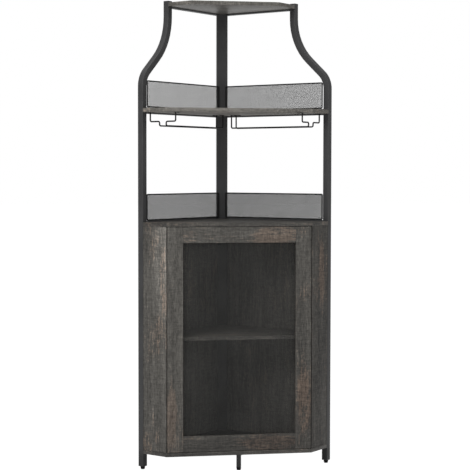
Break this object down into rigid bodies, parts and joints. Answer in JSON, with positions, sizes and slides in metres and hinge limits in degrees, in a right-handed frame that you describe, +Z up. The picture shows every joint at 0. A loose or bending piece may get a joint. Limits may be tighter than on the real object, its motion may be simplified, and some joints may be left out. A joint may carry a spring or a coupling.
{
  "type": "corner wine rack",
  "caption": "Tall corner drinks cabinet: bent tube frame, wood shelves, mesh-sided gallery, wire racks for stemmed glasses and a mesh door cabinet below.",
  "frame": {"origin": "on the floor, under the middle of the part's outer box", "axes": "+Z up; the door faces -Y and the room corner is towards +Y; +X is to the right for someone facing the door"},
  "size_m": [0.754, 0.4532, 1.8],
  "materials": {
    "frame_steel": "satin charcoal powder coat",
    "wire_steel": "satin black coat on steel rod",
    "mesh_steel": "satin black coat on fine wire mesh",
    "rustic_wood": "matt grey-brown rustic grain",
    "dark_plastic": "matt black",
    "bright_steel": "bright zinc plate"
  },
  "bodies": {
    "frame": {"left_post": "frame_steel", "left_base_rail": "frame_steel", "left_counter_rail": "frame_steel", "left_shelf_rail": "frame_steel", "left_top_rail": "frame_steel", "left_post_cap": "dark_plastic", "left_post_plug": "dark_plastic", "left_back_panel": "rustic_wood", "left_wing_panel": "rustic_wood", "left_wing_shelf_pin": "bright_steel", "left_back_shelf_pin": "bright_steel", "left_counter_guard_frame": "wire_steel", "left_shelf_guard_frame": "wire_steel", "left_rack_wall_rod": "wire_steel", "left_rack_room_rod": "wire_steel", "left_counter_guard_net": "mesh_steel", "left_shelf_guard_net": "mesh_steel", "right_post": "frame_steel", "right_base_rail": "frame_steel", "right_counter_rail": "frame_steel", "right_shelf_rail": "frame_steel", "right_top_rail": "frame_steel", "right_post_cap": "dark_plastic", "right_post_plug": "dark_plastic", "right_back_panel": "rustic_wood", "right_wing_panel": "rustic_wood", "right_wing_shelf_pin": "bright_steel", "right_back_shelf_pin": "bright_steel", "right_counter_guard_frame": "wire_steel", "right_shelf_guard_frame": "wire_steel", "right_rack_wall_rod": "wire_steel", "right_rack_room_rod": "wire_steel", "right_counter_guard_net": "mesh_steel", "right_shelf_guard_net": "mesh_steel", "base_board": "rustic_wood", "counter_board": "rustic_wood", "shelf_board": "rustic_wood", "top_board": "rustic_wood", "back_post": "frame_steel", "front_leg": "frame_steel", "back_post_plug": "dark_plastic", "back_post_cap": "dark_plastic", "front_leg_plug": "dark_plastic", "magnetic_catch": "dark_plastic", "lower_pivot_pin": "bright_steel", "upper_pivot_pin": "bright_steel"},
    "door": {"door_left_stile": "rustic_wood", "door_right_stile": "rustic_wood", "door_top_rail": "rustic_wood", "door_bottom_rail": "rustic_wood", "door_net": "mesh_steel", "door_upper_bush": "dark_plastic", "door_lower_bush": "dark_plastic", "strike_plate": "bright_steel"},
    "loose_shelf": {"loose_shelf": "rustic_wood"},
    "left_foot": {"left_levelling_foot": "dark_plastic"},
    "right_foot": {"right_levelling_foot": "dark_plastic"},
    "back_foot": {"back_levelling_foot": "dark_plastic"},
    "front_foot": {"front_levelling_foot": "dark_plastic"}
  },
  "joints": [
    {"name": "door_hinge", "type": "hinge", "parent": "frame", "child": "door", "pos_m": [0.26701, -0.21909, 0.5055], "axis": [0, 0, 1], "range_deg": [0, 110]},
    {"name": "loose_shelf_lift", "type": "slide", "parent": "frame", "child": "loose_shelf", "axis": [0, 0, 1], "range_m": [0, 0.4]},
    {"name": "left_foot_screw", "type": "slide", "parent": "frame", "child": "left_foot", "axis": [0, 0, -1], "range_m": [0, 0.01]},
    {"name": "right_foot_screw", "type": "slide", "parent": "frame", "child": "right_foot", "axis": [0, 0, -1], "range_m": [0, 0.01]},
    {"name": "back_foot_screw", "type": "slide", "parent": "frame", "child": "back_foot", "axis": [0, 0, -1], "range_m": [0, 0.01]},
    {"name": "front_foot_screw", "type": "slide", "parent": "frame", "child": "front_foot", "axis": [0, 0, -1], "range_m": [0, 0.01]}
  ]
}
